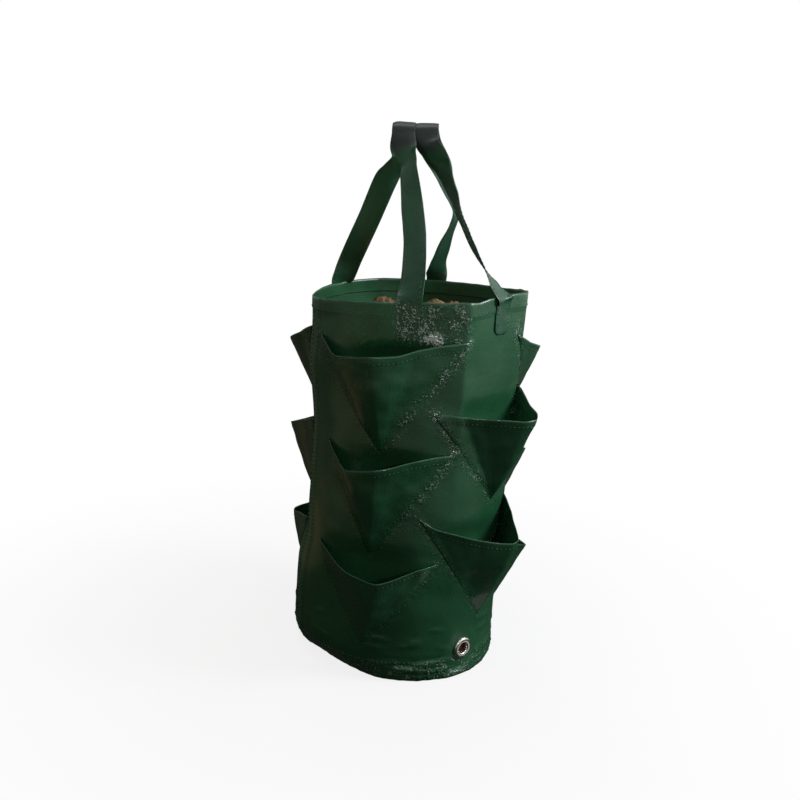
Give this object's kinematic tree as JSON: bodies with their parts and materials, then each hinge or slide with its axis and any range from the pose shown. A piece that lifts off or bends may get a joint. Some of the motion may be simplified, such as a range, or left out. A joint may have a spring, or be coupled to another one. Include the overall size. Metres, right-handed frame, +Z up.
{
  "type": "grow bag with side pockets",
  "caption": "Tall round planter bag of sewn woven sheet with staggered triangular side pockets, two strap handles and drain eyelets, filled with soil.",
  "frame": {"origin": "middle of the round bottom, on the floor", "axes": "+Z up along the bag, -Y towards the front of the bag, +X to its right"},
  "size_m": [0.2487, 0.2716, 0.5008],
  "materials": {
    "woven_sheet": "green woven polyethylene sheet with a glossy laminated face",
    "woven_sheet_flap": "the same green woven sheet, sewn on as pocket flaps",
    "strap_sheet": "green woven sheet folded to a doubled strap",
    "eyelet_metal": "bright nickel plated pressed metal",
    "planting_soil": "crumbly brown coir and peat"
  },
  "bodies": {
    "bag": {"bag_wall": "woven_sheet", "base_panel": "woven_sheet", "eyelet_1": "eyelet_metal", "eyelet_2": "eyelet_metal", "eyelet_washer_1": "eyelet_metal", "eyelet_washer_2": "eyelet_metal", "pocket_back_1": "woven_sheet_flap", "pocket_back_2": "woven_sheet_flap", "pocket_front_1": "woven_sheet_flap", "pocket_front_2": "woven_sheet_flap", "pocket_front_3": "woven_sheet_flap", "pocket_front_right_1": "woven_sheet_flap", "pocket_front_right_2": "woven_sheet_flap", "pocket_left_1": "woven_sheet_flap", "pocket_left_2": "woven_sheet_flap", "pocket_left_3": "woven_sheet_flap", "pocket_right_1": "woven_sheet_flap", "pocket_right_2": "woven_sheet_flap", "pocket_right_3": "woven_sheet_flap", "soil_fill": "planting_soil", "strap_end_back": "strap_sheet", "strap_end_front": "strap_sheet", "strap_end_left": "strap_sheet", "strap_end_right": "strap_sheet"},
    "left_handle": {"handle_left": "strap_sheet"},
    "right_handle": {"handle_right": "strap_sheet"}
  },
  "joints": [
    {"name": "left_handle_swing", "type": "hinge", "parent": "bag", "child": "left_handle", "pos_m": [-0.04226, -0.0186, 0.377], "axis": [0.4027, -0.9153, 0], "range_deg": [0, 110]},
    {"name": "right_handle_swing", "type": "hinge", "parent": "bag", "child": "right_handle", "pos_m": [0.04921, 0.01889, 0.377], "axis": [-0.3584, 0.9336, 0], "range_deg": [0, 110]}
  ]
}
